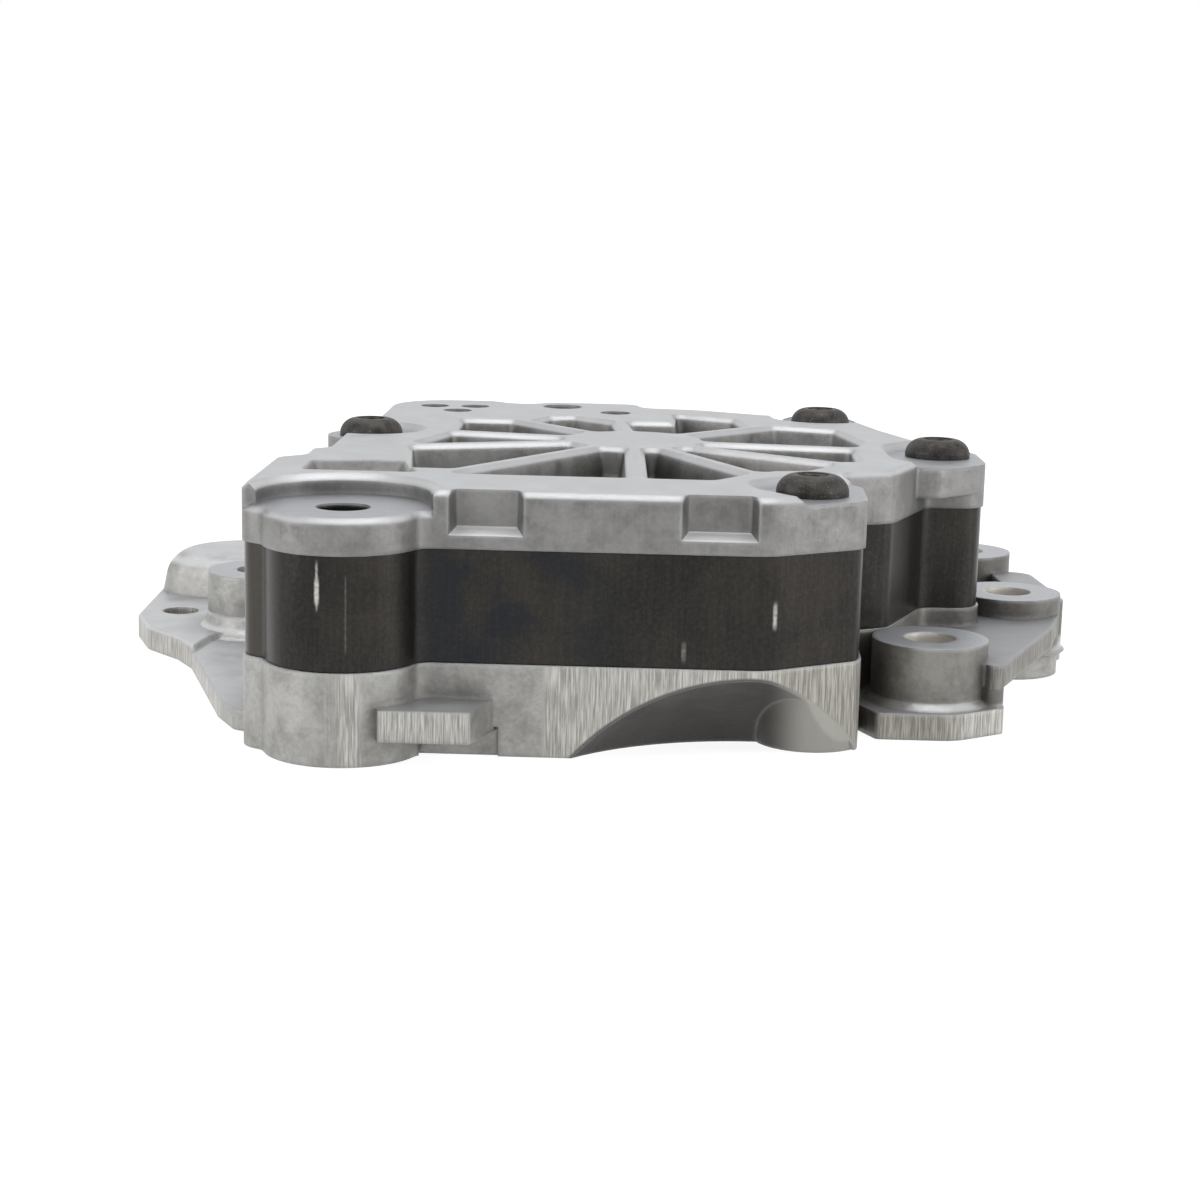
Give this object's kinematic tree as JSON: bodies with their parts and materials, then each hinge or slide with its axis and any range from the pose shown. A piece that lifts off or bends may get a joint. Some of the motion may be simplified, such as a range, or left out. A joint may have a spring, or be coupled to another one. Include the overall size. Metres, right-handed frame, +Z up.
{
  "type": "engine oil pump",
  "caption": "Gerotor engine oil pump: ribbed cast cover, dark sintered ring and eared cast base, with a turning rotor set on a hub axis and a sprung relief piston.",
  "frame": {"origin": "where the drive shaft's axis meets the mounting face, the flat underside of the base", "axes": "+Z up along the shaft towards the cover, +X to the right and +Y away from the side with the long bolt's lobe and the two windows"},
  "size_m": [0.1884, 0.1541, 0.0459],
  "materials": {
    "cast_base": "die cast, satin, trimmed flanks",
    "cast_cover": "die cast, satin, bright edges",
    "sintered_ring": "sintered, steam treated, dark",
    "rotor_steel": "sintered, ground faces",
    "ground_steel": "ground",
    "spring_steel": "drawn, oiled",
    "plug_steel": "zinc plated",
    "black_screw_steel": "phosphated, dark",
    "bearing_bronze": "sintered bronze",
    "washer_copper": "annealed copper",
    "seal_rubber": "matt moulded"
  },
  "bodies": {
    "housing": {"base_housing": "cast_base", "rotor_housing": "sintered_ring", "cover": "cast_cover", "base_bush": "bearing_bronze", "cover_bush": "bearing_bronze", "valve_seat": "ground_steel", "relief_plug": "plug_steel", "plug_washer": "washer_copper", "spring_seat": "ground_steel", "relief_spring": "spring_steel", "cover_screws": "black_screw_steel", "housing_dowels": "ground_steel", "inlet_seal": "seal_rubber", "outlet_seal": "seal_rubber"},
    "shaft": {"drive_shaft": "ground_steel", "drive_pin": "ground_steel", "inner_rotor": "rotor_steel", "retaining_ring": "spring_steel"},
    "outer_rotor": {"outer_rotor": "rotor_steel"},
    "relief_piston": {"relief_piston": "ground_steel"}
  },
  "joints": [
    {"name": "shaft_spin", "type": "hinge", "parent": "housing", "child": "shaft", "pos_m": [0, 0, 0], "axis": [0, 0, 1], "continuous": true},
    {"name": "outer_rotor_spin", "type": "hinge", "parent": "housing", "child": "outer_rotor", "pos_m": [0, -0.004, 0], "axis": [0, 0, 1], "continuous": true},
    {"name": "relief_slide", "type": "slide", "parent": "housing", "child": "relief_piston", "axis": [-1, 0, 0], "range_m": [0, 0.01], "stiffness_N_per_m": 6000, "springref_m": -0.012, "deforming": ["relief_spring"]}
  ],
  "couplings": [
    {"joint": "outer_rotor_spin", "follows": "shaft_spin", "ratio": 0.85714}
  ]
}
